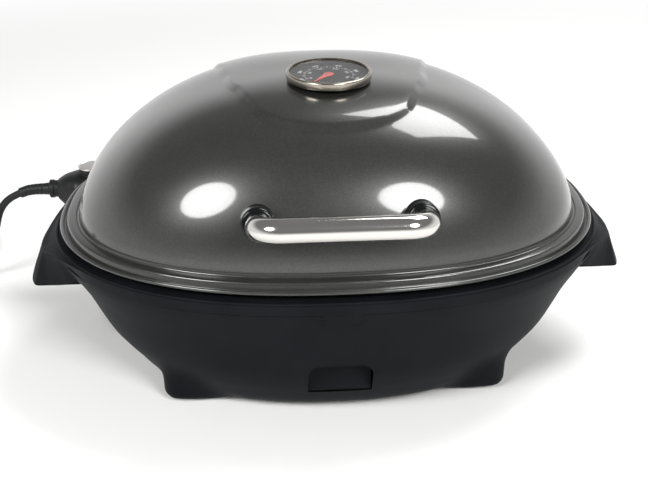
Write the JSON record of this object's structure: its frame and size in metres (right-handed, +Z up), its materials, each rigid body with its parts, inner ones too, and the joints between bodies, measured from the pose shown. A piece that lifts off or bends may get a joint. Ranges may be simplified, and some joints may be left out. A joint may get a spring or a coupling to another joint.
{
  "type": "electric tabletop grill",
  "caption": "Electric tabletop grill: oval base on feet, ribbed cooking plate, domed hinged lid with a dial thermometer, drip drawer and a plug-in heat control with its cord.",
  "frame": {"origin": "middle of the oval on the floor under the feet", "axes": "+Z up, -Y to the front with the lid handle, +X to the right as seen from the front, the heat control plugs in at the left"},
  "size_m": [0.8841, 0.4193, 0.2669],
  "materials": {
    "bowl_plastic": "fine matt texture",
    "frame_plastic": "fine matt texture",
    "pad_rubber": "matt",
    "screw_steel": "zinc plated",
    "pin_steel": "bright",
    "pan_steel": "dull pressed sheet",
    "plate_coating": "cast, matt non-stick coating",
    "element_steel": "heat darkened",
    "socket_plastic": "matt",
    "contact_brass": "satin",
    "hinge_paint": "satin",
    "lid_paint": "semi-gloss graphite metallic",
    "bracket_steel": "satin",
    "handle_chrome": "polished",
    "ferrule_black": "glossy",
    "gasket_rubber": "matt",
    "bezel_steel": "polished edge",
    "dial_black": "printed face",
    "dial_glass": "clear",
    "needle_red": "satin",
    "tray_aluminium": "dull",
    "control_plastic": "satin",
    "knob_silver": "pale silver satin",
    "cord_rubber": "satin",
    "plug_plastic": "matt"
  },
  "bodies": {
    "base": {"base_shell": "bowl_plastic", "rim_frame": "frame_plastic", "foot_pads": "pad_rubber", "rim_screws": "screw_steel", "drip_pan": "pan_steel", "pan_screws": "screw_steel", "grill_plate": "plate_coating", "heating_element": "element_steel", "element_clips": "screw_steel", "socket_shroud": "socket_plastic", "contact_pins": "contact_brass", "drawer_guide": "frame_plastic", "guide_screws": "screw_steel", "hinge_leaf": "hinge_paint", "leaf_screws": "screw_steel", "hinge_pin": "pin_steel"},
    "lid": {"lid_shell": "lid_paint", "lid_bracket": "bracket_steel", "bracket_rivets": "pin_steel", "handle_tube": "handle_chrome", "handle_inserts": "screw_steel", "handle_ferrules": "ferrule_black", "handle_screws": "screw_steel", "dial_gasket": "gasket_rubber", "dial_housing": "bezel_steel", "dial_plate": "dial_black", "dial_glass": "dial_glass", "dial_nut": "pin_steel", "dial_probe": "pin_steel"},
    "needle": {"dial_needle": "needle_red"},
    "drawer": {"grease_tray": "tray_aluminium", "drawer_front": "bowl_plastic"},
    "control": {"control_lower": "control_plastic", "control_upper": "control_plastic", "control_nose": "socket_plastic", "control_probe": "pin_steel", "control_contacts": "contact_brass", "control_screws": "screw_steel", "cord_boot": "cord_rubber", "cord_run": "cord_rubber", "cord_coil": "cord_rubber", "cord_tail": "cord_rubber", "plug_body": "plug_plastic", "plug_pins": "contact_brass"},
    "knob": {"control_knob": "control_plastic", "knob_cap": "knob_silver"}
  },
  "joints": [
    {"name": "lid_hinge", "type": "hinge", "parent": "base", "child": "lid", "pos_m": [0, 0.2016, 0.136], "axis": [-1, 0, 0], "range_deg": [0, 95]},
    {"name": "needle_turn", "type": "hinge", "parent": "lid", "child": "needle", "pos_m": [0, -0.0376, 0.26558], "axis": [0, -0.0384, 0.9993], "range_deg": [-250, 0]},
    {"name": "drawer_slide", "type": "slide", "parent": "base", "child": "drawer", "axis": [0, -1, 0], "range_m": [0, 0.11]},
    {"name": "control_unplug", "type": "slide", "parent": "base", "child": "control", "axis": [-1, 0, 0], "range_m": [0, 0.095]},
    {"name": "knob_turn", "type": "hinge", "parent": "control", "child": "knob", "pos_m": [-0.231, 0.115, 0.127], "axis": [0, 0, -1], "range_deg": [0, 300]}
  ]
}
